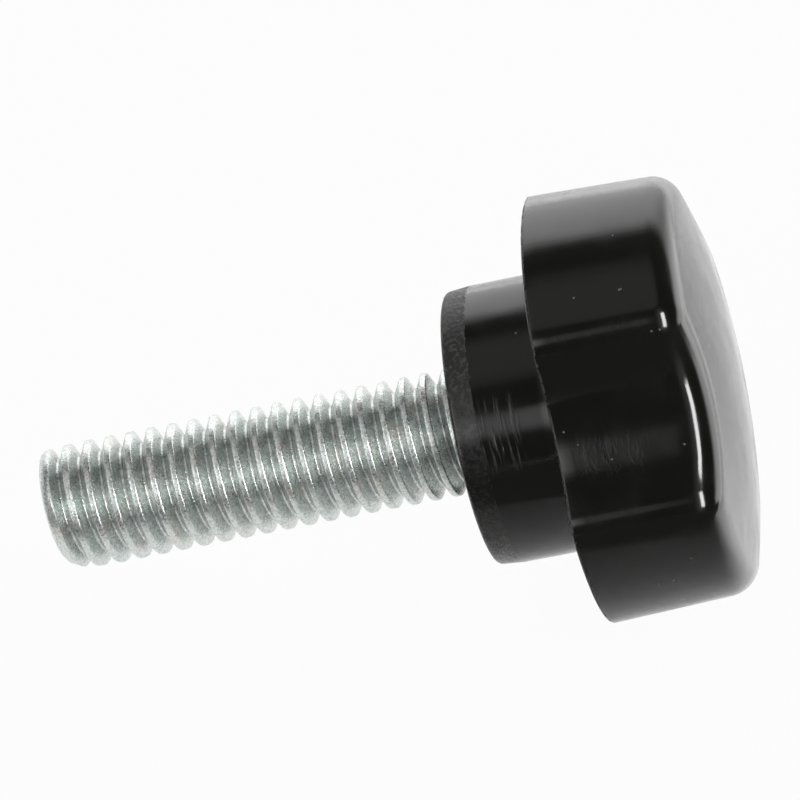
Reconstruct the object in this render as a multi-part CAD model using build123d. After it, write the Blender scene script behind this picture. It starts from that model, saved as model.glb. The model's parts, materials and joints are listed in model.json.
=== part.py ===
from build123d import *
from math import atan2, degrees, radians, tan
import os

os.makedirs("parts", exist_ok=True)

# Driving sizes, in millimetres and degrees

# Threaded stud: an M6 set screw whose hexagon head is moulded into the knob
thread_major_diameter = 5.85
thread_length = 19.8
thread_entry = 0.1
tip_chamfer = 0.65
shank_diameter = 5.3
hexagon_across_flats = 10.0
hexagon_thickness = 4.0
hexagon_setback = 0.6
hexagon_sides = 6

# Knob hub: the round boss that seats on the clamped work
hub_diameter = 12.9
hub_length = 4.62

# Trimmed band round the free end of the hub
trim_length = 1.15
trim_drop = 0.1
trim_edge = 0.25

# Knob head: a round, drafted grip with finger flutes and a domed crown
head_diameter = 19.9
head_height = 7.66
head_draft = 2.1
back_edge = 0.15
flute_count = 3
flute_depth = 1.95
flute_radius = 8.75
ridge_radius = 1.9
crown_radius = 61.0
rim_radius = 1.42

# How much of the narrowest ridge the rim rounding may take
rim_limit_share = 0.95

# Derived places along the screw axis, measured from the tip of the thread
hub_end = thread_length
thread_end = hub_end + thread_entry
head_back = hub_end + hub_length
crown_top = head_back + head_height
hexagon_underside = head_back + hexagon_setback

# Derived radii and the place of the flute cutter
thread_radius = thread_major_diameter / 2
shank_radius = shank_diameter / 2
hub_radius = hub_diameter / 2
head_radius = head_diameter / 2
flute_offset = head_radius - flute_depth + flute_radius
ridge_circle = head_radius - ridge_radius


def make_stud():
    """Outside of the thread, the shank it is rolled on and the hexagon that holds it in the knob."""
    half_section = Polyline(
        (0, 0, 0),
        (thread_radius - tip_chamfer, 0, 0),
        (thread_radius, 0, tip_chamfer),
        (thread_radius, 0, thread_end),
        (shank_radius, 0, thread_end),
        (shank_radius, 0, hexagon_underside),
        (0, 0, hexagon_underside),
        close=True,
    )
    shank = revolve(make_face(half_section), Axis.Z)
    hexagon = RegularPolygon(hexagon_across_flats / 2, hexagon_sides, major_radius=False)
    anchor = extrude(Pos(0, 0, hexagon_underside) * hexagon, hexagon_thickness)
    return shank + anchor


def make_head():
    """Fluted grip: a filleted section drawn out with draft, cut to the crown's dome and rolled at the rim."""
    flutes = [place * Circle(flute_radius) for place in PolarLocations(flute_offset, flute_count)]
    section = Circle(head_radius) - flutes
    section = fillet(section.vertices(), ridge_radius)
    grip = extrude(Pos(0, 0, head_back) * section, head_height, taper=head_draft)
    dome = Pos(0, 0, crown_top - crown_radius) * Rot(90, 0, 0) * Sphere(crown_radius)
    grip = grip & dome
    narrowest_ridge = ridge_radius - head_height * tan(radians(head_draft))
    rim_edges = grip.faces().sort_by(Axis.Z)[-1].edges()
    grip = fillet(rim_edges, min(rim_radius, rim_limit_share * narrowest_ridge))
    back_edges = grip.faces().sort_by(Axis.Z)[0].edges()
    return chamfer(back_edges, back_edge)


def make_hub():
    """Round boss whose free end is trimmed to a slight cone with a broken edge."""
    half_section = Polyline(
        (0, 0, hub_end),
        (hub_radius - trim_drop - trim_edge, 0, hub_end),
        (hub_radius - trim_drop, 0, hub_end + trim_edge),
        (hub_radius, 0, hub_end + trim_length),
        (hub_radius, 0, head_back),
        (0, 0, head_back),
        close=True,
    )
    return revolve(make_face(half_section), Axis.Z)


def make_knob(stud):
    """One moulding of head and hub, formed round the stud so that it grips the hexagon."""
    return make_head() + make_hub() - stud


def rest_slope():
    """Slope of the axis, in degrees, of the screw lying on two ridges of its head and its thread's tip."""
    ridge_cosine = (flute_offset**2 + ridge_circle**2 - (flute_radius + ridge_radius) ** 2) / (
        2 * flute_offset * ridge_circle
    )
    ridge_reach = ridge_circle * ridge_cosine + ridge_radius
    contact_reach = ridge_reach - back_edge * tan(radians(head_draft))
    rise = contact_reach - thread_radius
    run = head_back + back_edge - tip_chamfer
    return degrees(atan2(rise, run))


def rest_place(pieces):
    """Place of the screw lying at rest, with the origin below the middle of its box."""
    turn = Rot(0, 90 - rest_slope(), 0)
    box = Compound([turn * piece for piece in pieces]).bounding_box()
    return Pos(-box.center().X, -box.center().Y, -box.min.Z) * turn


upright_stud = make_stud()
upright_knob = make_knob(upright_stud)
rest = rest_place([upright_knob, upright_stud])

export_step(rest * upright_knob, "parts/knob.step")
export_step(rest * upright_stud, "parts/threaded_stud.step")
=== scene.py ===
"""Thumb screw: a fluted black moulded knob on a zinc-plated M6 stud, lying at rest on a pale floor."""

import json
import logging
import math
from collections.abc import Callable, Sequence
from dataclasses import dataclass, field
from enum import Enum, IntEnum

import bmesh
import bpy
from bmesh.types import BMEdge, BMesh, BMFace, BMVert
from mathutils import Euler, Matrix, Vector, noise


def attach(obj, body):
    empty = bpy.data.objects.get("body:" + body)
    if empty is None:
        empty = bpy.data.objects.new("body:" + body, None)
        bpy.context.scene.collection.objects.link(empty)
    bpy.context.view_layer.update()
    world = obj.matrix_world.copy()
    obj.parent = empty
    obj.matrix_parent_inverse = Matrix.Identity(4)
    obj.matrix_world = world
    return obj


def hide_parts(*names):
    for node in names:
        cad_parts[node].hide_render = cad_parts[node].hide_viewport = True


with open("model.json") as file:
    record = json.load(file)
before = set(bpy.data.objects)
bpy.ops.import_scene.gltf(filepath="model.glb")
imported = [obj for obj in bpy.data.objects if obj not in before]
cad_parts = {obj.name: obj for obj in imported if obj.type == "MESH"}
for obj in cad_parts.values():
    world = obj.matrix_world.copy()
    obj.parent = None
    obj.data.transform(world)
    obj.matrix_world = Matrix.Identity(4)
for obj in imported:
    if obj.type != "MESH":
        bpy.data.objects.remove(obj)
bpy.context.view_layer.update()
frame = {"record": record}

LOG = logging.getLogger("thumb_screw")
MM = 0.001
TURN = 2 * math.pi
MERGE = 0.004
SHARP_ANGLE = math.radians(38)

# Power of an area lamp for each square metre of it at a radiance of 1
LAMP_POWER = 4.0

Span = tuple[float, float]
Triple = tuple[float, float, float]
Colour = tuple[float, float, float, float]
Socket = bpy.types.NodeSocket
Setting = Socket | float | int | bool | str | tuple[float, ...]
SheetOwner = bpy.types.Material | bpy.types.World


class Slot(Enum):
    """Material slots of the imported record."""

    KNOB = "knob_plastic"
    STUD = "zinc_steel"


class KnobFace(IntEnum):
    """Material places on the knob's mesh."""

    MOULDED = 0
    TRIMMED = 1


def polar(radius: float, angle: float, height: float) -> Vector:
    """Point of the screw frame at a radius, an angle and a height."""
    return Vector((radius * math.cos(angle), radius * math.sin(angle), height))


def blend(start: float, end: float, share: float) -> float:
    """Value between start at share 0 and end at share 1."""
    return start + (end - start) * share


def blend_between(start: float, end: float, steps: int) -> list[float]:
    """Even steps from start to end, without start and with end."""
    return [blend(start, end, k / steps) for k in range(1, steps + 1)]


def fillet_profile(corners: Sequence[Vector], radii: Sequence[float], steps: int) -> list[Vector]:
    """Rounds the inner corners of an open polyline.

    Args:
        corners: The polyline's corners in its own plane.
        radii: The rounding of each corner; the first and the last are not used.
        steps: Segments on each rounding.

    Returns:
        The points of the rounded line, from the first corner to the last.
    """
    points = [corners[0].copy()]
    for before, corner, after, radius in zip(corners, corners[1:], corners[2:], radii[1:]):
        back = (before - corner).normalized()
        ahead = (after - corner).normalized()
        half = back.angle(ahead) / 2
        centre = corner + (back + ahead).normalized() * (radius / math.sin(half))
        start = (corner + back * (radius / math.tan(half)) - centre).normalized()
        end = (corner + ahead * (radius / math.tan(half)) - centre).normalized()
        for k in range(steps + 1):
            points.append(centre + start.slerp(end, k / steps) * radius)
    points.append(corners[-1].copy())
    return points


@dataclass(frozen=True)
class ScrewPlace:
    """Where the screw lies: its tip in the row frame and the slope of its axis."""

    tip: Vector
    slope: float

    @classmethod
    def from_record(cls, record: dict, thread_length: float) -> "ScrewPlace":
        """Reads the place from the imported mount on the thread.

        Args:
            record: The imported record.
            thread_length: Length of the thread in millimetres; the mount is at its middle.

        Returns:
            The place of the screw.
        """
        mount = next(m for m in record["mounts"] if m["name"] == "thread")
        axis = -Vector(mount["axis"])
        tip = Vector(mount["pos_m"]) - axis * (thread_length * MM / 2)
        return cls(tip, math.atan2(axis.z, axis.x))

    @property
    def turn(self) -> Euler:
        """Turn from upright to lying on the floor."""
        return Euler((0.0, math.pi / 2 - self.slope, 0.0))

    @property
    def axis(self) -> Vector:
        """Direction from the tip to the crown, in the row frame."""
        return Vector((math.cos(self.slope), 0.0, math.sin(self.slope)))

    def matrix(self) -> Matrix:
        """Screw frame in millimetres, with its tip at the origin, to the row frame in metres."""
        return Matrix.LocRotScale(self.tip, self.turn, Vector((MM, MM, MM)))


class ShaderSheet:
    """Node tree of one finish or of the world, with short calls to add its nodes."""

    def __init__(self, owner: SheetOwner) -> None:
        """Starts with the owner's tree emptied.

        Args:
            owner: The material or the world that the tree belongs to.
        """
        self.owner = owner
        owner.use_nodes = True
        self.tree = owner.node_tree
        self.tree.nodes.clear()

    @classmethod
    def material(cls, name: str) -> "ShaderSheet":
        """Sheet of a new material."""
        return cls(bpy.data.materials.new(name))

    def node(
        self, kind: str, inputs: dict[str | int, Setting] | None = None, **settings: Setting
    ) -> bpy.types.Node:
        """Adds a node.

        Args:
            kind: Blender's name of the node type.
            inputs: Values or sockets for its inputs.
            settings: Its own properties.

        Returns:
            The new node.
        """
        made = self.tree.nodes.new(kind)
        for key, value in settings.items():
            setattr(made, key, value)
        for key, value in (inputs or {}).items():
            if isinstance(value, Socket):
                self.tree.links.new(value, made.inputs[key])
            else:
                made.inputs[key].default_value = value
        return made

    def math(self, operation: str, first: Setting, second: Setting = 0.0) -> Socket:
        """One step of arithmetic."""
        return self.node("ShaderNodeMath", {0: first, 1: second}, operation=operation).outputs[0]

    def times(self, first: Setting, second: Setting) -> Socket:
        """Product of two values."""
        return self.math("MULTIPLY", first, second)

    def plus(self, first: Setting, second: Setting) -> Socket:
        """Sum of two values."""
        return self.math("ADD", first, second)

    def larger(self, first: Setting, second: Setting) -> Socket:
        """The larger of two values."""
        return self.math("MAXIMUM", first, second)

    def fade(
        self, value: Setting, low: float, high: float, start: Setting = 0.0, end: Setting = 1.0
    ) -> Socket:
        """Smooth step of a value between low and high, from start to end."""
        inputs = {"Value": value, 1: low, 2: high, 3: start, 4: end}
        return self.node("ShaderNodeMapRange", inputs, interpolation_type="SMOOTHSTEP").outputs[0]

    def along(self, vector: Socket, direction: Sequence[float]) -> Socket:
        """Length of a vector along a direction."""
        made = self.node("ShaderNodeVectorMath", {0: vector, 1: tuple(direction)}, operation="DOT_PRODUCT")
        return made.outputs["Value"]

    def join(self, x: Setting, y: Setting, z: Setting) -> Socket:
        """Vector of three values."""
        return self.node("ShaderNodeCombineXYZ", {0: x, 1: y, 2: z}).outputs[0]

    def scaled(self, vector: Socket, scale: Sequence[float]) -> Socket:
        """Vector with each of its lengths scaled."""
        made = self.node("ShaderNodeVectorMath", {0: vector, 1: tuple(scale)}, operation="MULTIPLY")
        return made.outputs[0]

    def grain(self, vector: Socket, scale: float, detail: float, fourth: Setting | None = None) -> Socket:
        """Adds a noise.

        Args:
            vector: Place at which the noise is taken.
            scale: Steps to the unit of the place.
            detail: Octaves of the noise.
            fourth: Place along a fourth dimension, where the noise has one.

        Returns:
            The noise, with its middle at 0.5.
        """
        inputs: dict[str | int, Setting] = {"Vector": vector, "Scale": scale, "Detail": detail}
        if fourth is None:
            return self.node("ShaderNodeTexNoise", inputs).outputs[0]
        inputs["W"] = fourth
        return self.node("ShaderNodeTexNoise", inputs, noise_dimensions="4D").outputs[0]

    def bump(self, height: Socket, depth: float, under: Socket | None = None) -> Socket:
        """Adds a relief.

        Args:
            height: Height of the relief, from 0 to 1.
            depth: Its depth in millimetres.
            under: Normal of the relief below it, where there is one.

        Returns:
            The normal.
        """
        inputs: dict[str | int, Setting] = {"Height": height, "Distance": depth * MM, "Strength": 1.0}
        if under is not None:
            inputs["Normal"] = under
        return self.node("ShaderNodeBump", inputs).outputs[0]

    def blend(self, share: Setting, first: Setting, second: Setting) -> Socket:
        """Colour between two colours."""
        made = self.node("ShaderNodeMix", {0: share, 6: first, 7: second}, data_type="RGBA")
        return made.outputs[2]

    def output(self, shader: Socket, kind: str = "ShaderNodeOutputMaterial") -> SheetOwner:
        """Joins the shader to the surface and gives the tree's owner."""
        self.node(kind, {"Surface": shader})
        return self.owner

    def principled(self, inputs: dict[str | int, Setting]) -> SheetOwner:
        """Joins a principled shader to the surface and gives the tree's owner."""
        return self.output(self.node("ShaderNodeBsdfPrincipled", inputs).outputs[0])

    def mixed(self, share: Setting, first: Socket, second: Socket) -> SheetOwner:
        """Joins a mix of two shaders to the surface and gives the tree's owner."""
        return self.output(self.node("ShaderNodeMixShader", {0: share, 1: first, 2: second}).outputs[0])


@dataclass(frozen=True)
class ScrewSpace:
    """Screw frame at the shaded point, in millimetres; the turn round the axis is given by two values."""

    sheet: ShaderSheet
    point: Socket
    height: Socket
    radius: Socket
    turn_x: Socket
    turn_y: Socket

    @classmethod
    def of(cls, sheet: ShaderSheet, place: ScrewPlace) -> "ScrewSpace":
        """Adds the nodes that turn object coordinates into the screw frame.

        Args:
            sheet: The finish's node tree.
            place: Where the screw lies.

        Returns:
            The sockets.
        """
        inputs = {
            "Vector": sheet.node("ShaderNodeTexCoord").outputs["Object"],
            "Location": tuple(place.tip),
            "Rotation": tuple(place.turn),
            "Scale": (MM, MM, MM),
        }
        point = sheet.node("ShaderNodeMapping", inputs, vector_type="TEXTURE").outputs[0]
        x, y, height = sheet.node("ShaderNodeSeparateXYZ", {0: point}).outputs
        level = sheet.scaled(point, (1.0, 1.0, 0.0))
        radius = sheet.node("ShaderNodeVectorMath", {0: level}, operation="LENGTH").outputs["Value"]
        return cls(
            sheet, point, height, radius, sheet.math("DIVIDE", x, radius), sheet.math("DIVIDE", y, radius)
        )

    def toward(self, angle: float, width: float) -> Socket:
        """Picks out one side of the screw.

        Args:
            angle: Angle round the axis that the side faces.
            width: Angle from its middle at which it ends.

        Returns:
            1 in the middle third of the side and 0 outside it.
        """
        turn = self.sheet.join(self.turn_x, self.turn_y, 0.0)
        facing = self.sheet.along(turn, polar(1.0, angle, 0.0))
        return self.sheet.fade(facing, math.cos(width), math.cos(width / 3))

    def band(self, low: float, high: float, blur: float) -> Socket:
        """Picks out a band round the screw.

        Args:
            low: Height of its lower end.
            high: Height of its upper end.
            blur: Width of its soft ends, which lie outside it.

        Returns:
            1 in the band and 0 beyond its soft ends.
        """
        rise = self.sheet.fade(self.height, low - blur, low)
        return self.sheet.times(rise, self.sheet.fade(self.height, high, high + blur, 1.0, 0.0))


@dataclass(frozen=True)
class Grain:
    """Noise in the screw frame: steps to the millimetre, octaves and the span in which it sets in."""

    scale: float
    detail: float
    span: Span = (0.35, 0.65)

    def value(self, space: ScrewSpace) -> Socket:
        """The noise, with its middle at 0.5."""
        return space.sheet.grain(space.point, self.scale, self.detail)

    def share(self, space: ScrewSpace) -> Socket:
        """0 where the noise is below its span and 1 where it is above."""
        return space.sheet.fade(self.value(space), *self.span)


@dataclass(frozen=True)
class RingGrain:
    """Noise drawn out round the axis, as turning marks are: steps to the millimetre and to the radian."""

    across: float
    around: float
    detail: float = 2.0

    def value(self, space: ScrewSpace) -> Socket:
        """Adds the nodes of the noise.

        Args:
            space: Screw frame at the shaded point.

        Returns:
            The noise, with its middle at 0.5.
        """
        sheet = space.sheet
        vector = sheet.join(
            sheet.times(space.radius, self.across),
            sheet.times(space.height, self.across),
            sheet.times(space.turn_x, self.around),
        )
        return sheet.grain(vector, 1.0, self.detail, sheet.times(space.turn_y, self.around))


@dataclass(frozen=True)
class Specks:
    """Sparse round specks: spacing of the places for them, radius, and share of the places that have one."""

    spacing: float
    radius: float
    chosen_share: float
    core_share: float = 0.6

    def mask(self, space: ScrewSpace) -> Socket:
        """Adds the nodes of the specks.

        Args:
            space: Screw frame at the shaded point.

        Returns:
            1 inside a speck and 0 outside.
        """
        sheet = space.sheet
        cells = sheet.node("ShaderNodeTexVoronoi", {"Vector": space.point, "Scale": 1 / self.spacing})
        draw = sheet.along(cells.outputs["Color"], (1.0, 0.0, 0.0))
        edge = self.radius / self.spacing
        inside = sheet.fade(cells.outputs["Distance"], self.core_share * edge, edge, 1.0, 0.0)
        return sheet.times(sheet.math("LESS_THAN", draw, self.chosen_share), inside)


@dataclass(frozen=True)
class RubbedPlace:
    """Place on the knob that handling has scratched: a stretch of its height on one side."""

    low: float
    high: float
    side: float
    width: float
    strength: float
    blur: float = 0.5

    def share(self, space: ScrewSpace) -> Socket:
        """The strength where it is rubbed and 0 elsewhere, with soft ends."""
        ring = space.sheet.times(space.band(self.low, self.high, self.blur), self.strength)
        return space.sheet.times(ring, space.toward(self.side, self.width))


@dataclass(frozen=True)
class MouldedPlastic:
    """Glossy black moulding of the knob, with fine scuffs round it, draw lines, dust and a worn back edge."""

    name: str = "moulded_black"
    colour: Colour = (0.0066, 0.0071, 0.0054, 1.0)
    worn: Colour = (0.05, 0.05, 0.048, 1.0)
    dust: Colour = (0.2, 0.2, 0.19, 1.0)
    roughness: Span = (0.11, 0.18)
    patches: Grain = Grain(0.45, 1.0, (0.35, 0.7))
    waves: Grain = Grain(0.8, 0.0)
    wave_depth: float = 0.008
    line_steps: Triple = (3.5, 3.5, 0.12)
    line_detail: float = 3.0
    line_depth: float = 0.0016
    crown_heights: Span = (30.6, 31.4)
    scuffs: RingGrain = RingGrain(7.0, 4.0, 3.0)
    scuff_span: Span = (0.46, 0.74)
    scuff_depth: float = 0.009
    scuff_dulling: float = 0.24
    handled_span: Span = (0.45, 0.65)
    handled_share: float = 0.15
    rubbed: tuple[RubbedPlace, ...] = (
        RubbedPlace(low=21.0, high=22.5, side=math.radians(-123), width=math.radians(19), strength=1.0),
        RubbedPlace(low=25.6, high=28.0, side=math.radians(-111), width=math.radians(9), strength=0.22),
    )
    specks: Specks = Specks(spacing=0.7, radius=0.065, chosen_share=0.2)
    speck_depth: float = 0.02
    edge_height: float = 24.46
    edge_width: float = 0.07
    edge_blur: float = 0.03
    edge_wear: Grain = Grain(2.2, 3.0, (0.44, 0.56))
    spot_dulling: float = 0.45

    def make(self, place: ScrewPlace) -> bpy.types.Material:
        """Builds the material.

        Args:
            place: Where the screw lies.

        Returns:
            The material.
        """
        sheet = ShaderSheet.material(self.name)
        space = ScrewSpace.of(sheet, place)
        patches = self.patches.value(space)
        rubbed: Setting = 0.0
        for area in self.rubbed:
            rubbed = sheet.plus(rubbed, area.share(space))
        scuffs = sheet.fade(self.scuffs.value(space), *self.scuff_span)
        scratches = sheet.times(scuffs, rubbed)
        handled = sheet.fade(patches, *self.handled_span, 0.0, self.handled_share)
        scuffs = sheet.times(scuffs, sheet.larger(handled, rubbed))
        lines = sheet.grain(sheet.scaled(space.point, self.line_steps), 1.0, self.line_detail)
        lines = sheet.times(lines, sheet.fade(space.height, *self.crown_heights, 1.0, 0.0))
        dust = self.specks.mask(space)
        edge = space.band(self.edge_height, self.edge_height + self.edge_width, self.edge_blur)
        edge = sheet.times(edge, self.edge_wear.share(space))
        normal = sheet.bump(self.waves.value(space), self.wave_depth)
        normal = sheet.bump(lines, self.line_depth, normal)
        normal = sheet.bump(scuffs, self.scuff_depth, normal)
        normal = sheet.bump(dust, self.speck_depth, normal)
        roughness = sheet.fade(patches, *self.patches.span, *self.roughness)
        roughness = sheet.plus(roughness, sheet.times(scuffs, self.scuff_dulling))
        roughness = sheet.plus(roughness, sheet.times(sheet.larger(dust, edge), self.spot_dulling))
        colour = sheet.blend(sheet.larger(edge, scratches), self.colour, self.worn)
        return sheet.principled(
            {
                "Base Color": sheet.blend(dust, colour, self.dust),
                "Roughness": roughness,
                "Normal": normal,
            }
        )


@dataclass(frozen=True)
class TrimmedPlastic:
    """Cut band at the hub's end: satin with turning marks, dull on its upper side, where pale flecks are
    painted as painted light falling from above.
    """

    name: str = "trimmed_black"
    colour: Colour = (0.0066, 0.0071, 0.0054, 1.0)
    lit_fleck: Colour = (0.07, 0.07, 0.066, 1.0)
    roughness: Span = (0.2, 0.32)
    rough_span: Span = (0.35, 0.65)
    dull_side: Span = (-0.95, -0.6)
    dulling: float = 0.24
    speckle: Grain = Grain(4.5, 3.0, (0.5, 0.66))
    pit_depth: float = 0.04
    bright_pit_share: float = 0.12
    marks: RingGrain = RingGrain(7.0, 2.0)
    mark_depth: float = 0.008

    def make(self, place: ScrewPlace) -> bpy.types.Material:
        """Builds the material.

        Args:
            place: Where the screw lies.

        Returns:
            The material.
        """
        sheet = ShaderSheet.material(self.name)
        space = ScrewSpace.of(sheet, place)
        speckle = self.speckle.value(space)
        dull = sheet.fade(space.turn_x, *self.dull_side, 1.0, 0.0)
        # Painted light: pale flecks only on the upper side of the band, where light from above falls.
        lit_flecks = sheet.times(sheet.fade(speckle, *self.speckle.span), dull)
        pits = sheet.times(speckle, sheet.fade(dull, 0.0, 1.0, self.bright_pit_share, 1.0))
        normal = sheet.bump(self.marks.value(space), self.mark_depth)
        normal = sheet.bump(pits, self.pit_depth, normal)
        roughness = sheet.fade(speckle, *self.rough_span, *self.roughness)
        return sheet.principled(
            {
                "Base Color": sheet.blend(lit_flecks, self.colour, self.lit_fleck),
                "Roughness": sheet.plus(roughness, sheet.times(dull, self.dulling)),
                "Normal": normal,
            }
        )


@dataclass(frozen=True)
class ZincPlate:
    """Bright zinc on the rolled thread: crystalline grain, rolling marks, faint blue and pink tints, and
    painted shade darkening the thread's roots in patches.
    """

    name: str = "bright_zinc"
    colour: Colour = (0.65, 0.685, 0.665, 1.0)
    cool: Colour = (0.605, 0.665, 0.645, 1.0)
    warm: Colour = (0.7, 0.68, 0.65, 1.0)
    dull: Colour = (0.44, 0.465, 0.455, 1.0)
    root_shade: Colour = (0.46, 0.48, 0.47, 1.0)
    roughness: Span = (0.25, 0.4)
    tint: Grain = Grain(0.9, 2.0, (0.5, 0.72))
    warm_span: Span = (0.3, 0.45)
    crystal: Grain = Grain(10.0, 3.0)
    crystal_depth: float = 0.016
    mottle: Grain = Grain(7.0, 4.0, (0.42, 0.66))
    mottle_share: float = 0.8
    root_shade_patches: Grain = Grain(3.0, 2.0)
    root_radius: Span = (2.36, 2.62)
    marks: RingGrain = RingGrain(14.0, 1.6)
    mark_depth: float = 0.008

    def make(self, place: ScrewPlace) -> bpy.types.Material:
        """Builds the material.

        Args:
            place: Where the screw lies.

        Returns:
            The material.
        """
        sheet = ShaderSheet.material(self.name)
        space = ScrewSpace.of(sheet, place)
        tint = self.tint.value(space)
        crystal = self.crystal.value(space)
        # Painted shade: the base colour darkens towards the thread's roots, in noisy patches, in place of the
        # shade in the grooves.
        root = sheet.fade(space.radius, *self.root_radius, 1.0, 0.0)
        root = sheet.times(root, self.root_shade_patches.share(space))
        mottle = sheet.times(self.mottle.share(space), self.mottle_share)
        colour = sheet.blend(sheet.fade(tint, *self.tint.span), self.colour, self.cool)
        colour = sheet.blend(sheet.fade(tint, *self.warm_span, 1.0, 0.0), colour, self.warm)
        colour = sheet.blend(mottle, colour, self.dull)
        normal = sheet.bump(self.marks.value(space), self.mark_depth)
        normal = sheet.bump(crystal, self.crystal_depth, normal)
        return sheet.principled(
            {
                "Base Color": sheet.blend(root, colour, self.root_shade),
                "Metallic": 1.0,
                "Roughness": sheet.fade(crystal, *self.crystal.span, *self.roughness),
                "Normal": normal,
            }
        )


def extrude_ring(bm: BMesh, edges: Sequence[BMEdge]) -> tuple[set[BMVert], list[BMEdge], list[BMFace]]:
    """Extrudes an open ring of edges.

    Args:
        bm: The mesh.
        edges: The edges of the ring.

    Returns:
        The vertices and the edges of the new ring, and the faces between the two rings.
    """
    made = bmesh.ops.extrude_edge_only(bm, edges=edges)["geom"]
    verts = {item for item in made if isinstance(item, BMVert)}
    ring = [item for item in made if isinstance(item, BMEdge) and verts.issuperset(item.verts)]
    faces = [item for item in made if isinstance(item, BMFace)]
    return verts, ring, faces


class RingShell:
    """Shell drawn ring by ring: each ring is extruded from the last one and set to its own points."""

    def __init__(self, points: Sequence[Vector]) -> None:
        """Starts with a capped ring.

        Args:
            points: The places of the ring's vertices.
        """
        self.bm = bmesh.new()
        self.ring: list[BMVert] = bmesh.ops.create_circle(
            self.bm, segments=len(points), radius=1.0, cap_ends=True
        )["verts"]
        self.edges: list[BMEdge] = list(self.bm.edges)
        self._place(points)

    def _place(self, points: Sequence[Vector]) -> None:
        """Sets the open ring's vertices to the points."""
        for vert, point in zip(self.ring, points):
            vert.co = point

    def draw(self, points: Sequence[Vector], kind: KnobFace = KnobFace.MOULDED) -> None:
        """Extrudes the open ring to the points.

        Args:
            points: The places of the new ring's vertices, in the order of the first ring.
            kind: Material place of the faces between the two rings.
        """
        fresh, self.edges, faces = extrude_ring(self.bm, self.edges)
        self.ring = [
            next(e.other_vert(vert) for e in vert.link_edges if e.other_vert(vert) in fresh)
            for vert in self.ring
        ]
        self._place(points)
        for face in faces:
            face.material_index = kind

    def close_at(self, point: Vector) -> None:
        """Draws the open ring together into one point."""
        self.draw([point] * len(self.ring))
        bmesh.ops.pointmerge(self.bm, verts=self.ring, merge_co=point)


def new_object(name: str, data: bpy.types.ID) -> bpy.types.Object:
    """Adds an object to the scene.

    Args:
        name: Name of the object.
        data: The mesh, the lamp or the camera that it shows.

    Returns:
        The object.
    """
    made = bpy.data.objects.new(name, data)
    bpy.context.scene.collection.objects.link(made)
    return made


def mesh_object(name: str, bm: BMesh, finishes: Sequence[bpy.types.Material]) -> bpy.types.Object:
    """Turns a mesh into an object of the scene.

    Args:
        name: Name of the object.
        bm: The mesh; it is freed here.
        finishes: Materials in the order of the mesh's material places.

    Returns:
        The object.
    """
    mesh = bpy.data.meshes.new(name)
    bm.to_mesh(mesh)
    bm.free()
    for finish in finishes:
        mesh.materials.append(finish)
    return new_object(name, mesh)


def make_piece(
    bm: BMesh, name: str, node: str, place: ScrewPlace, finishes: Sequence[bpy.types.Material]
) -> bpy.types.Object:
    """Turns a mesh of the screw frame into a piece of the object.

    Args:
        bm: The mesh, in millimetres; it is freed here.
        name: Name of the piece.
        node: CAD node that it stands for.
        place: Where the screw lies.
        finishes: Materials in the order of the mesh's material places.

    Returns:
        The piece, riding on the one body.
    """
    bmesh.ops.recalc_face_normals(bm, faces=bm.faces)
    for face in bm.faces:
        face.smooth = True
    for edge in bm.edges:
        edge.smooth = edge.calc_face_angle(0.0) < SHARP_ANGLE
    bmesh.ops.transform(bm, matrix=place.matrix(), verts=bm.verts)
    piece = mesh_object(name, bm, finishes)
    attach(piece, "root")
    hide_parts(node)
    triangles = sum(len(polygon.vertices) - 2 for polygon in piece.data.polygons)
    LOG.info("%s: %d triangles, stands for %s", name, triangles, node)
    return piece


@dataclass(frozen=True)
class Nick:
    """Small dent in a crest of the thread."""

    height: float
    angle: float
    reach: float
    depth: float

    def drop(self, point: Vector, radius: float) -> float:
        """How far the dent lowers a point of the thread of a given outside radius."""
        away = (point - polar(radius, self.angle, self.height)).length / self.reach
        return self.depth * max(0.0, 1 - away**2)


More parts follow.
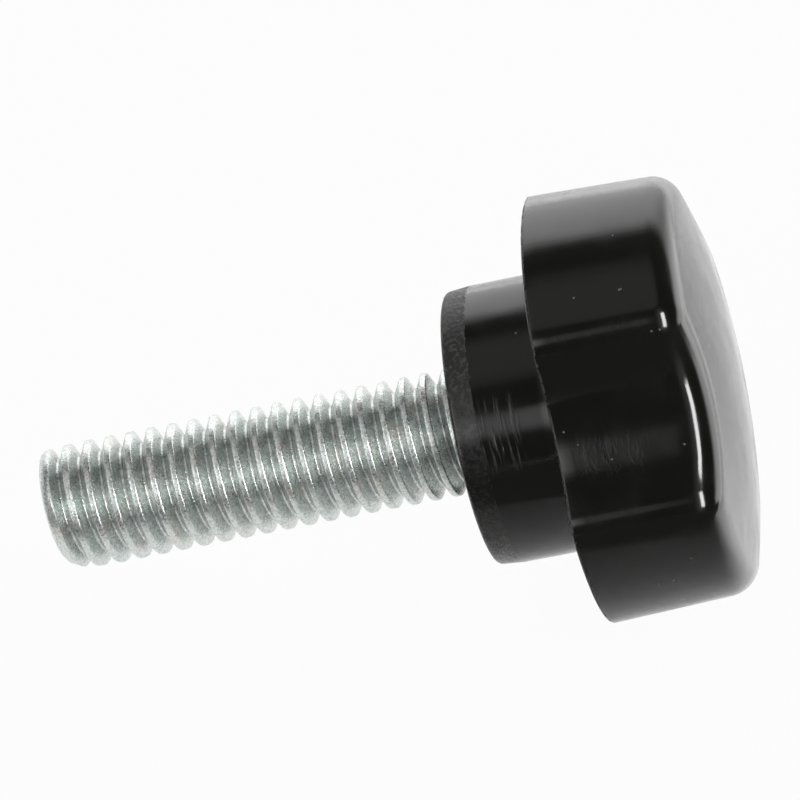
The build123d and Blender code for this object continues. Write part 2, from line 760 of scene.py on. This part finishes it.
@dataclass
class ThreadedStud:
    """Steel stud: a rolled M6 thread with a chamfered tip, a shank and the hexagon inside the knob."""

    pitch: float = 1.0
    major_radius: float = 2.925
    depth: float = 0.61
    flank_angle: float = math.radians(26.5)
    crest_width: float = 0.27
    crest_rounding: float = 0.1
    root_rounding: float = 0.06
    rounding_steps: int = 4
    flank_steps: int = 3
    turn_steps: int = 96
    spare_turns: int = 2
    start_angle: float = -0.75
    thread_length: float = 19.8
    thread_entry: float = 0.1
    tip_lean: float = math.radians(2.6)
    tip_side: float = math.radians(142)
    tip_over: float = 0.115
    chamfer_depth: Span = (0.27, 0.45)
    chamfer_length: Span = (0.37, 0.9)
    first_drop: float = 0.11
    first_length: float = 1.9
    unevenness: float = 0.014
    uneven_steps: float = 1.7
    nicks: tuple[Nick, ...] = (
        Nick(height=14.8, angle=math.radians(-57), reach=0.32, depth=0.14),
        Nick(height=1.85, angle=math.radians(-42), reach=0.4, depth=0.16),
        Nick(height=8.1, angle=math.radians(160), reach=0.25, depth=0.08),
    )
    shank_radius: float = 2.65
    hexagon_across: float = 10.0
    hexagon_underside: float = 25.02
    hexagon_thickness: float = 4.0

    @property
    def thread_end(self) -> float:
        """Height at which the thread ends, just inside the knob."""
        return self.thread_length + self.thread_entry

    def hexagon_radius(self, angle: float) -> float:
        """Radius of the hexagon's outline at an angle."""
        side = math.pi / 3
        return self.hexagon_across / 2 / math.cos(angle % side - side / 2)

    def pitch_profile(self) -> list[Vector]:
        """Draws the section of one pitch in the XZ plane.

        Returns:
            Its points, from the middle of a root to the middle of the next.
        """
        root = self.major_radius - self.depth
        crest_low = (self.pitch - self.crest_width) / 2
        run = self.depth * math.tan(self.flank_angle)
        corners = [
            Vector((root, 0.0, 0.0)),
            Vector((root, 0.0, crest_low - run)),
            Vector((self.major_radius, 0.0, crest_low)),
            Vector((self.major_radius, 0.0, self.pitch - crest_low)),
            Vector((root, 0.0, self.pitch - crest_low + run)),
            Vector((root, 0.0, self.pitch)),
        ]
        radii = [0.0, self.root_rounding, self.crest_rounding, self.crest_rounding, self.root_rounding, 0.0]
        return fillet_profile(corners, radii, self.rounding_steps)

    def wind_thread(self) -> BMesh:
        """Winds one turn of the thread and repeats it at each pitch.

        Returns:
            The open thread, longer than the stud at both ends.
        """
        bm = bmesh.new()
        below = -self.spare_turns * self.pitch
        chain = [bm.verts.new(point + Vector((0.0, 0.0, below))) for point in self.pitch_profile()]
        edges = [bm.edges.new(pair) for pair in zip(chain, chain[1:])]
        long_edges = [e for e in edges if e.calc_length() > self.crest_width]
        bmesh.ops.subdivide_edges(bm, edges=long_edges, cuts=self.flank_steps)
        bmesh.ops.rotate(bm, verts=bm.verts, matrix=Matrix.Rotation(self.start_angle, 3, "Z"))
        bmesh.ops.spin(
            bm,
            geom=list(bm.verts) + list(bm.edges),
            axis=(0.0, 0.0, 1.0),
            cent=(0.0, 0.0, 0.0),
            dvec=(0.0, 0.0, self.pitch / self.turn_steps),
            angle=TURN,
            steps=self.turn_steps,
            use_merge=False,
        )
        turn = list(bm.verts) + list(bm.edges) + list(bm.faces)
        turns = math.ceil(self.thread_end / self.pitch) + self.spare_turns
        for k in range(1, turns + 1):
            copy = bmesh.ops.duplicate(bm, geom=turn)["geom"]
            moved = [item for item in copy if isinstance(item, BMVert)]
            bmesh.ops.translate(bm, verts=moved, vec=(0.0, 0.0, k * self.pitch))
        bmesh.ops.remove_doubles(bm, verts=bm.verts, dist=MERGE)
        return bm

    def trim_ends(self, bm: BMesh) -> list[BMEdge]:
        """Cuts the thread to length and turns its ends down.

        Args:
            bm: The wound thread.

        Returns:
            The edges of the open end inside the knob.
        """
        across = polar(math.tan(self.tip_lean), self.tip_side, 0.0)
        lean = across + Vector((0.0, 0.0, 1.0))
        for height, out in ((-self.tip_over, -lean), (self.thread_end, Vector((0.0, 0.0, 1.0)))):
            geom = list(bm.verts) + list(bm.edges) + list(bm.faces)
            bmesh.ops.bisect_plane(bm, geom=geom, plane_co=(0.0, 0.0, height), plane_no=out, clear_outer=True)
        root = self.major_radius - self.depth
        for vert in bm.verts:
            radius = vert.co.xy.length
            rise = self.tip_over + vert.co.dot(lean)
            share = 0.5 - 0.5 * math.cos(math.atan2(vert.co.y, vert.co.x) - self.tip_side)
            depth = blend(*self.chamfer_depth, share)
            length = blend(*self.chamfer_length, share)
            limit = min(
                self.major_radius - depth * (1 - rise / length),
                self.major_radius - self.first_drop * (1 - rise / self.first_length),
                root + (self.thread_end - vert.co.z) * self.depth / (self.thread_entry / 2),
            )
            radius += self.unevenness * noise.noise(vert.co * self.uneven_steps)
            radius -= max(nick.drop(vert.co, self.major_radius) for nick in self.nicks)
            vert.co.xy *= min(radius, limit) / vert.co.xy.length
        rims = [e for e in bm.edges if e.is_boundary]
        tip = [e for e in rims if e.verts[0].co.z < self.pitch]
        bmesh.ops.contextual_create(bm, geom=tip)
        return [e for e in rims if e.verts[0].co.z > self.pitch]

    def add_anchor(self, bm: BMesh, rim: list[BMEdge]) -> None:
        """Draws the shank and the hexagon out of the thread's inner end.

        Args:
            bm: The trimmed thread.
            rim: The edges of its open end.
        """
        top = self.hexagon_underside + self.hexagon_thickness
        rings: list[tuple[Callable[[float], float], float]] = [
            (lambda _: self.shank_radius, self.thread_end),
            (lambda _: self.shank_radius, self.hexagon_underside),
            (self.hexagon_radius, self.hexagon_underside),
            (self.hexagon_radius, top),
        ]
        for radius_at, height in rings:
            fresh, rim, _ = extrude_ring(bm, rim)
            for vert in fresh:
                angle = math.atan2(vert.co.y, vert.co.x)
                vert.co = polar(radius_at(angle), angle, height)
        bmesh.ops.contextual_create(bm, geom=rim)

    def build(self, place: ScrewPlace, finish: bpy.types.Material) -> bpy.types.Object:
        """Builds the stud's one piece.

        Args:
            place: Where the screw lies.
            finish: Its material.

        Returns:
            The piece.
        """
        bm = self.wind_thread()
        self.add_anchor(bm, self.trim_ends(bm))
        return make_piece(bm, "stud_thread", "threaded_stud", place, [finish])


@dataclass(frozen=True)
class OutlinePoint:
    """Point of the grip's outline at its back, with the level direction that faces outwards there."""

    place: Vector
    out: Vector


@dataclass(frozen=True)
class GripOutline:
    """Outline of the grip: wide lobes, rounded ridges and finger flutes."""

    head_radius: float = 9.95
    flute_count: int = 3
    flute_depth: float = 1.95
    flute_radius: float = 8.75
    ridge_radius: float = 1.9
    lobe_steps: int = 44
    ridge_steps: int = 20
    flute_steps: int = 36

    @staticmethod
    def arc(
        centre: Vector, radius: float, start: float, end: float, steps: int, side: int
    ) -> list[OutlinePoint]:
        """Points on an arc, without its end.

        Args:
            centre: Middle of the arc.
            radius: Its radius.
            start: Angle at its start.
            end: Angle at its end.
            steps: Number of points.
            side: 1 where the arc bulges outwards, -1 where it is hollow.

        Returns:
            The points in order.
        """
        points = []
        for k in range(steps):
            angle = blend(start, end, k / steps)
            ray = Vector((math.cos(angle), math.sin(angle), 0.0))
            points.append(OutlinePoint(centre + ray * radius, ray * side))
        return points

    def points(self) -> list[OutlinePoint]:
        """Works out the whole outline.

        Returns:
            Its points, counter-clockwise, starting at a flute.
        """
        offset = self.head_radius - self.flute_depth + self.flute_radius
        reach = self.head_radius - self.ridge_radius
        between = self.flute_radius + self.ridge_radius
        lean = math.acos((offset**2 + reach**2 - between**2) / (2 * offset * reach))
        ridge = polar(reach, lean, 0.0)
        sweep = math.atan2(ridge.y, offset - ridge.x)
        sector = TURN / self.flute_count
        far_ridge = polar(reach, sector - lean, 0.0)
        flute = Vector((offset, 0.0, 0.0))
        one = (
            self.arc(flute, self.flute_radius, math.pi + sweep, math.pi - sweep, self.flute_steps, -1)
            + self.arc(ridge, self.ridge_radius, -sweep, lean, self.ridge_steps, 1)
            + self.arc(Vector(), self.head_radius, lean, sector - lean, self.lobe_steps, 1)
            + self.arc(far_ridge, self.ridge_radius, sector - lean, sector + sweep, self.ridge_steps, 1)
        )
        turns = [Matrix.Rotation(k * sector, 3, "Z") for k in range(self.flute_count)]
        return [OutlinePoint(turn @ p.place, turn @ p.out) for turn in turns for p in one]


@dataclass
class FlutedKnob:
    """Moulded knob: a round hub with a trimmed end, and a fluted head with a rolled rim and a domed crown."""

    stud: ThreadedStud
    outline: GripOutline = field(default_factory=GripOutline)
    hub_radius: float = 6.45
    hub_length: float = 4.62
    trim_length: float = 1.15
    trim_drop: float = 0.1
    trim_edge: float = 0.2
    trim_step: float = 0.012
    trim_ragged: float = 0.09
    ragged_steps: float = 3.4
    root_rounding: float = 0.2
    head_height: float = 7.83
    head_draft: float = math.radians(2.1)
    back_edge: float = 0.15
    crown_radius: float = 42.0
    rim_radius: float = 1.42
    rim_rounds: int = 4
    face_steps: int = 6
    band_steps: int = 9
    hub_steps: int = 8
    round_steps: int = 5
    wall_steps: int = 10
    rim_steps: int = 14
    crown_steps: int = 30

    @property
    def hub_end(self) -> float:
        """Height of the hub's free end."""
        return self.stud.thread_length

    @property
    def head_back(self) -> float:
        """Height of the head's back."""
        return self.hub_end + self.hub_length

    def trim_edge_height(self, angle: float) -> float:
        """Height of the trimmed band's ragged edge at an angle."""
        ragged = noise.noise(polar(self.hub_radius, angle, 0.0) * self.ragged_steps)
        return self.hub_end + self.trim_length + self.trim_ragged * ragged

    def crown_height(self, radius: float) -> float:
        """Height of the dome above the head's back at a radius."""
        return self.head_height - self.crown_radius + math.sqrt(self.crown_radius**2 - radius**2)

    def rim_ball(self, point: OutlinePoint) -> Vector:
        """Finds the ball that rolls along the rim, by a few rounds that each come closer.

        Args:
            point: Outline point that the ball lies inside.

        Returns:
            Middle of the ball that touches the wall and the dome there.
        """
        height = self.head_height - self.rim_radius
        centre = point.place
        for _ in range(self.rim_rounds):
            inset = height * math.tan(self.head_draft) + self.rim_radius / math.cos(self.head_draft)
            centre = point.place - point.out * inset
            reach = self.crown_radius - self.rim_radius
            height = self.head_height - self.crown_radius + math.sqrt(reach**2 - centre.length_squared)
        return Vector((centre.x, centre.y, height))

    def rim_ray(self, point: OutlinePoint, ball: Vector, share: float) -> Vector:
        """Points from the ball's middle to the rim.

        Args:
            point: The outline point.
            ball: Middle of its ball.
            share: 0 at the wall and 1 at the dome.

        Returns:
            The direction.
        """
        wall = point.out * math.cos(self.head_draft) + Vector((0.0, 0.0, math.sin(self.head_draft)))
        dome = (ball - Vector((0.0, 0.0, self.head_height - self.crown_radius))).normalized()
        return wall.slerp(dome, share)

    def draw_inside(self, angles: Sequence[float]) -> RingShell:
        """Starts the shell with the pocket for the hexagon, the bore and the lip round the thread.

        Args:
            angles: Angles of the vertices of each ring.

        Returns:
            The shell, open at the hub's end.
        """
        stud = self.stud
        top = stud.hexagon_underside + stud.hexagon_thickness
        shell = RingShell([polar(stud.hexagon_radius(a), a, top) for a in angles])
        shell.draw([polar(stud.hexagon_radius(a), a, stud.hexagon_underside) for a in angles])
        for radius, height in (
            (stud.shank_radius, stud.hexagon_underside),
            (stud.shank_radius, stud.thread_end),
            (stud.major_radius, stud.thread_end),
            (stud.major_radius, self.hub_end),
        ):
            shell.draw([polar(radius, a, height) for a in angles])
        return shell

    def draw_hub(self, shell: RingShell, angles: Sequence[float]) -> None:
        """Draws the hub's end, its trimmed band and its round wall.

        Args:
            shell: The shell, open at the hub's end.
            angles: Angles of the vertices of each ring.
        """
        end_radius = self.hub_radius - self.trim_drop
        for radius in blend_between(self.stud.major_radius, end_radius - self.trim_edge, self.face_steps):
            shell.draw([polar(radius, a, self.hub_end) for a in angles], KnobFace.TRIMMED)
        for turn in blend_between(0.0, math.pi / 2, self.round_steps):
            radius = end_radius - self.trim_edge * (1 - math.sin(turn))
            height = self.hub_end + self.trim_edge * (1 - math.cos(turn))
            shell.draw([polar(radius, a, height) for a in angles], KnobFace.TRIMMED)
        edge = [self.trim_edge_height(a) for a in angles]
        low = self.hub_end + self.trim_edge
        for share in blend_between(0.0, 1.0, self.band_steps):
            radius = end_radius + (self.trim_drop - self.trim_step) * share
            rise = [blend(low, high, share) for high in edge]
            shell.draw([polar(radius, a, height) for a, height in zip(angles, rise)], KnobFace.TRIMMED)
        shell.draw(
            [polar(self.hub_radius, a, height + self.trim_step) for a, height in zip(angles, edge)],
            KnobFace.TRIMMED,
        )
        top = self.head_back - self.root_rounding
        for share in blend_between(0.0, 1.0, self.hub_steps):
            rise = [blend(low, top, share) for low in edge]
            shell.draw([polar(self.hub_radius, a, height) for a, height in zip(angles, rise)])
        for turn in blend_between(0.0, math.pi / 2, self.round_steps):
            radius = self.hub_radius + self.root_rounding * (1 - math.cos(turn))
            height = self.head_back - self.root_rounding * (1 - math.sin(turn))
            shell.draw([polar(radius, a, height) for a in angles])

    def draw_head(self, shell: RingShell, outline: Sequence[OutlinePoint], angles: Sequence[float]) -> None:
        """Draws the head's back, its drafted wall, its rim and its crown.

        Args:
            shell: The shell, open at the head's back.
            outline: The grip's outline.
            angles: Angles of the outline's points.
        """
        lift = Vector((0.0, 0.0, self.head_back))
        root = self.hub_radius + self.root_rounding
        inner = [polar(root, a, self.head_back) for a in angles]
        outer = [p.place - p.out * self.back_edge + lift for p in outline]
        for share in blend_between(0.0, 1.0, self.face_steps):
            shell.draw([start.lerp(end, share) for start, end in zip(inner, outer)])
        lean = math.tan(self.head_draft)
        up = Vector((0.0, 0.0, 1.0))
        for turn in blend_between(0.0, math.pi / 2, self.round_steps):
            height = self.back_edge * (1 - math.cos(turn))
            inset = self.back_edge * (1 - math.sin(turn)) + height * lean
            shell.draw([p.place - p.out * inset + up * height + lift for p in outline])
        balls = [self.rim_ball(p) for p in outline]
        starts = [b.z + self.rim_radius * math.sin(self.head_draft) for b in balls]
        for share in blend_between(0.0, 1.0, self.wall_steps):
            points = []
            for p, top in zip(outline, starts):
                height = blend(self.back_edge, top, share)
                points.append(p.place - p.out * (height * lean) + up * height + lift)
            shell.draw(points)
        for share in blend_between(0.0, 1.0, self.rim_steps):
            shell.draw(
                [b + self.rim_ray(p, b, share) * self.rim_radius + lift for p, b in zip(outline, balls)]
            )
        edge = [b + self.rim_ray(p, b, 1.0) * self.rim_radius for p, b in zip(outline, balls)]
        for share in blend_between(1.0, 0.0, self.crown_steps)[:-1]:
            points = []
            for e in edge:
                level = e.xy * share
                points.append(Vector((level.x, level.y, self.crown_height(level.length))) + lift)
            shell.draw(points)
        shell.close_at(Vector((0.0, 0.0, self.head_height)) + lift)

    def build(self, place: ScrewPlace, finishes: Sequence[bpy.types.Material]) -> bpy.types.Object:
        """Builds the knob's one piece.

        Args:
            place: Where the screw lies.
            finishes: Its materials, in the order of KnobFace.

        Returns:
            The piece.
        """
        outline = self.outline.points()
        angles = [math.atan2(p.place.y, p.place.x) for p in outline]
        shell = self.draw_inside(angles)
        self.draw_hub(shell, angles)
        self.draw_head(shell, outline, angles)
        return make_piece(shell.bm, "moulded_knob", "knob", place, finishes)


def stage_sheet(name: str, matrix: Matrix, finish: bpy.types.Material) -> bpy.types.Object:
    """Makes a flat sheet of the stage.

    Args:
        name: Name of the sheet.
        matrix: Place and size of a unit square.
        finish: Its material.

    Returns:
        The sheet.
    """
    bm = bmesh.new()
    bmesh.ops.create_grid(bm, x_segments=1, y_segments=1, size=0.5, matrix=matrix)
    sheet = mesh_object(name, bm, [finish])
    return sheet


@dataclass(frozen=True)
class PaleFloor:
    """Pale sheet under the screw; what mirrors it sees a painted shadow that darkens it towards the front,
    most on the knob's side.
    """

    size: float = 6.0
    colour: Colour = (0.92, 0.92, 0.92, 1.0)
    seen_white: float = 0.96
    mirrored_white: float = 0.8
    falloff: Span = (-19.0, 5.0)
    shaded: Span = (-5.0, 5.0)
    shadow_levels: Span = (0.93, 0.42)
    back_level: float = 1.25

    def build(self) -> None:
        """Lays the sheet; what looks straight at it sees mostly its white."""
        sheet = ShaderSheet.material("pale_sheet")
        rays = sheet.node("ShaderNodeLightPath").outputs
        straight = sheet.larger(rays["Is Camera Ray"], rays["Is Transmission Ray"])
        seen = sheet.times(straight, self.seen_white)
        mirrored = sheet.times(rays["Is Glossy Ray"], self.mirrored_white)
        point = sheet.node("ShaderNodeTexCoord").outputs["Object"]
        # Painted shadow: in reflections the floor darkens towards the front and most on the knob's side,
        # standing in for the knob's shade on it.
        front = sheet.fade(sheet.along(point, (1.0 / MM, 0.0, 0.0)), *self.shaded, *self.shadow_levels)
        depth = sheet.along(point, (0.0, 1.0 / MM, 0.0))
        glossy_level = sheet.fade(depth, *self.falloff, front, self.back_level)
        level = sheet.fade(straight, 0.0, 1.0, glossy_level, 1.0)
        lit = sheet.node("ShaderNodeBsdfDiffuse", {"Color": self.colour}).outputs[0]
        white = sheet.node("ShaderNodeEmission", {"Strength": level}).outputs[0]
        finish = sheet.mixed(sheet.larger(seen, mirrored), lit, white)
        stage_sheet("pale_floor", Matrix.Scale(self.size, 4), finish)


@dataclass(frozen=True)
class SoftEdge:
    """Soft edge of a card: nothing below the first distance along a direction, all above the second."""

    toward: Triple
    low: float
    high: float


@dataclass(frozen=True)
class MirroredCard:
    """Plain card on the floor, of which only reflections are seen; lengths in millimetres."""

    name: str
    level: float
    lift: float
    edges: tuple[SoftEdge, ...]
    size: float = 6000.0

    def build(self) -> None:
        """Lays the card on the floor; it is clear outside its soft edges."""
        sheet = ShaderSheet.material(self.name)
        point = sheet.node("ShaderNodeTexCoord").outputs["Object"]
        share: Setting = 1.0
        for edge in self.edges:
            reach = sheet.along(point, Vector(edge.toward) / MM)
            share = sheet.times(share, sheet.fade(reach, edge.low, edge.high))
        clear = sheet.node("ShaderNodeBsdfTransparent").outputs[0]
        shine = sheet.node("ShaderNodeEmission", {"Strength": self.level}).outputs[0]
        finish = sheet.mixed(share, clear, shine)
        place = Matrix.Translation((0.0, 0.0, self.lift * MM)) @ Matrix.Scale(self.size * MM, 4)
        card = stage_sheet(self.name, place, finish)
        card.visible_camera = False
        card.visible_diffuse = False
        card.visible_transmission = False
        card.visible_shadow = False


@dataclass(frozen=True)
class StudioCamera:
    """Camera at the photograph's viewing angle; lengths in millimetres."""

    azimuth: float = math.radians(1.1594)
    elevation: float = math.radians(38.05)
    roll: float = math.radians(-0.8977)
    aim: Triple = (-0.0666, 0.8877, 8.3864)
    distance: float = 266.96
    lens: float = 262.35
    sensor: float = 36.0
    clip_ratio: float = 100.0

    def build(self) -> None:
        """Sets the scene's camera."""
        sin_a, cos_a = math.sin(self.azimuth), math.cos(self.azimuth)
        sin_e, cos_e = math.sin(self.elevation), math.cos(self.elevation)
        back = Vector((sin_a * cos_e, -cos_a * cos_e, sin_e))
        level = Vector((cos_a, sin_a, 0.0))
        right = level * math.cos(self.roll) + back.cross(level) * math.sin(self.roll)
        data = bpy.data.cameras.new("studio_camera")
        data.lens = self.lens
        data.sensor_width = self.sensor
        data.clip_start = self.distance * MM / self.clip_ratio
        data.clip_end = self.distance * MM * self.clip_ratio
        camera = new_object("studio_camera", data)
        turn = Matrix((right, back.cross(right), back)).transposed().to_4x4()
        camera.matrix_world = Matrix.Translation((Vector(self.aim) + back * self.distance) * MM) @ turn
        bpy.context.scene.camera = camera


@dataclass(frozen=True)
class Heading:
    """Direction given by two angles in degrees: round the screw's axis and towards the knob."""

    around: float
    lean: float

    def frame(self, place: ScrewPlace) -> tuple[Vector, Vector]:
        """Works out the direction in the row frame.

        Args:
            place: Where the screw lies.

        Returns:
            The direction, and the direction in which the turn round the axis grows.
        """
        front = Vector((0.0, -1.0, 0.0))
        top = front.cross(place.axis)
        turn = math.radians(self.around)
        lean = math.radians(self.lean)
        ray = front * math.cos(turn) + top * math.sin(turn)
        side = top * math.cos(turn) - front * math.sin(turn)
        return ray * math.cos(lean) + place.axis * math.sin(lean), side


@dataclass(frozen=True)
class SoftBox:
    """Soft box that the screw mirrors, sized by the angles in degrees that it fills."""

    name: str
    heading: Heading
    width: float
    height: float
    level: float
    distance: float = 0.6

    def build(self, place: ScrewPlace) -> None:
        """Hangs the lamp.

        Args:
            place: Where the screw lies.
        """
        away, side = self.heading.frame(place)
        data = bpy.data.lights.new(self.name, "AREA")
        data.shape = "RECTANGLE"
        data.size = 2 * self.distance * math.tan(math.radians(self.width / 2))
        data.size_y = 2 * self.distance * math.tan(math.radians(self.height / 2))
        data.energy = LAMP_POWER * data.size * data.size_y * self.level
        lamp = new_object(self.name, data)
        turn = Matrix((side.cross(away), side, away)).transposed().to_4x4()
        lamp.matrix_world = Matrix.Translation(away * self.distance) @ turn
        lamp.visible_camera = False
        lamp.visible_diffuse = False


@dataclass(frozen=True)
class GlowPatch:
    """Soft-edged glow on the room's walls; half sizes and blur in degrees."""

    heading: Heading
    half_width: float
    half_height: float
    blur: float
    level: float
    facing: Span = (0.1, 0.4)

    def strength(self, sheet: ShaderSheet, ray: Socket, place: ScrewPlace) -> Socket:
        """Adds the nodes of the glow.

        Args:
            sheet: The world's node tree.
            ray: Direction of the ray.
            place: Where the screw lies.

        Returns:
            The strength of the glow along the ray.
        """
        away, side = self.heading.frame(place)
        middle = math.sin(math.radians(self.heading.lean))
        blur = math.sin(math.radians(self.blur))
        across = sheet.math("ABSOLUTE", sheet.math("SUBTRACT", sheet.along(ray, place.axis), middle))
        along = sheet.math("ABSOLUTE", sheet.along(ray, side))
        share = sheet.fade(sheet.along(ray, away), *self.facing, 0.0, self.level)
        for distance, half in ((across, self.half_width), (along, self.half_height)):
            reach = math.sin(math.radians(half))
            share = sheet.times(share, sheet.fade(distance, reach - blur, reach + blur, 1.0, 0.0))
        return share


@dataclass(frozen=True)
class StudioRoom:
    """Light of the room: dim walls, a white sweep behind the screw and a bright wall on its right."""

    dim: float = 0.13
    ceiling: float = 0.4
    ceiling_side: Triple = (-0.3, 0.02, 0.954)
    ceiling_span: Span = (0.89, 0.985)
    sweep_low: float = 2.0
    sweep_high: float = 2.8
    sweep_fall: Span = (0.1, 0.7)
    sweep_right: float = 0.68
    right_span: Span = (0.05, 0.45)
    sweep_left: float = 0.36
    left_span: Span = (0.25, 0.65)
    sweep_top: float = math.radians(42)
    sweep_blur: float = 0.14
    wall: float = 5.2
    wall_front: float = math.radians(15)
    wall_back: Triple = (0.787, -0.296, -0.541)
    wall_rise: Span = (-0.12, 0.42)
    wall_up: Triple = (0.0, -0.41, 0.912)
    wall_top: Span = (0.15, 0.45)
    wall_blur: float = 0.14
    glows: tuple[GlowPatch, ...] = (
        GlowPatch(Heading(37, -9), half_width=5, half_height=8, blur=3, level=1.3),
        GlowPatch(Heading(37, -22), half_width=9, half_height=8, blur=5, level=2.8),
        GlowPatch(Heading(76, -24), half_width=7, half_height=26, blur=6, level=1.1),
        GlowPatch(Heading(30, 16), half_width=9, half_height=34, blur=9, level=0.6),
    )

    def build(self, place: ScrewPlace) -> None:
        """Sets the world, which depends on direction alone.

        Args:
            place: Where the screw lies.
        """
        world = bpy.data.worlds.new("studio")
        sheet = ShaderSheet(world)
        ray = sheet.node("ShaderNodeTexCoord").outputs["Generated"]
        depth = sheet.along(ray, (0.0, math.sin(self.sweep_top), -math.cos(self.sweep_top)))
        sweep = sheet.times(
            sheet.fade(depth, -self.sweep_blur, self.sweep_blur),
            sheet.fade(depth, *self.sweep_fall, self.sweep_high, self.sweep_low),
        )
        right = sheet.fade(sheet.along(ray, (1.0, 0.0, 0.0)), *self.right_span, 1.0, self.sweep_right)
        sweep = sheet.times(sweep, right)
        left = sheet.fade(sheet.along(ray, (-1.0, 0.0, 0.0)), *self.left_span, 1.0, self.sweep_left)
        sweep = sheet.times(sweep, left)
        low = sheet.fade(sheet.along(ray, self.wall_up), *self.wall_top, 1.0, 0.0)
        front = sheet.along(ray, (math.sin(self.wall_front), math.cos(self.wall_front), 0.0))
        wall = sheet.times(low, sheet.fade(front, -self.wall_blur, self.wall_blur))
        wall = sheet.times(wall, sheet.fade(sheet.along(ray, self.wall_back), *self.wall_rise))
        sweep = sheet.times(sweep, sheet.math("SUBTRACT", 1.0, wall))
        light = sheet.plus(sweep, sheet.times(wall, self.wall))
        above = sheet.along(ray, self.ceiling_side)
        walls = sheet.fade(above, *self.ceiling_span, self.dim, self.dim + self.ceiling)
        light = sheet.larger(light, walls)
        for glow in self.glows:
            light = sheet.plus(light, glow.strength(sheet, ray, place))
        shader = sheet.node("ShaderNodeBackground", {"Strength": light}).outputs[0]
        bpy.context.scene.world = sheet.output(shader, "ShaderNodeOutputWorld")


@dataclass(frozen=True)
class StudioLight:
    """All of the studio's light."""

    room: StudioRoom = StudioRoom()
    boxes: tuple[SoftBox, ...] = (
        SoftBox("right_strip", Heading(32.5, 29.5), width=12, height=42, level=15.0),
        SoftBox("left_strip", Heading(42, -42), width=13, height=46, level=3.0),
    )
    cards: tuple[MirroredCard, ...] = (
        MirroredCard(
            "pale_back",
            level=2.0,
            lift=0.1,
            edges=(SoftEdge((0.5, 0.87, 0.0), 25.0, 120.0),),
        ),
        MirroredCard(
            "bright_side",
            level=3.0,
            lift=0.2,
            edges=(SoftEdge((0.8, -0.6, 0.0), 12.0, 27.0), SoftEdge((0.64, 0.77, 0.0), 2.5, 13.0)),
        ),
        MirroredCard(
            "bright_far",
            level=5.0,
            lift=0.25,
            edges=(SoftEdge((0.8, -0.6, 0.0), 55.0, 100.0), SoftEdge((0.64, 0.77, 0.0), 2.5, 13.0)),
        ),
        MirroredCard(
            "dark_front",
            level=0.13,
            lift=0.3,
            edges=(SoftEdge((0.0, -1.0, 0.0), 17.0, 19.5), SoftEdge((1.0, 0.0, 0.0), -90.0, -60.0)),
        ),
        MirroredCard(
            "dark_near",
            level=0.15,
            lift=0.35,
            edges=(SoftEdge((-0.53, -1.0, 0.0), 15.0, 18.5), SoftEdge((1.0, 0.0, 0.0), -70.0, -45.0)),
        ),
    )

    def build(self, place: ScrewPlace) -> None:
        """Sets the room, the boxes and the cards.

        Args:
            place: Where the screw lies.
        """
        self.room.build(place)
        for box in self.boxes:
            box.build(place)
        for card in self.cards:
            card.build()


def main() -> None:
    """Builds the screw's pieces, the floor, the light and the camera."""
    logging.basicConfig(level=logging.INFO, format="%(name)s: %(message)s")
    stud = ThreadedStud()
    place = ScrewPlace.from_record(frame["record"], stud.thread_length)
    stud.build(place, ZincPlate().make(place))
    FlutedKnob(stud).build(place, [MouldedPlastic().make(place), TrimmedPlastic().make(place)])
    PaleFloor().build()
    StudioLight().build(place)
    StudioCamera().build()
    bpy.context.scene.view_settings.view_transform = "Standard"


if __name__ == "__main__":
    main()
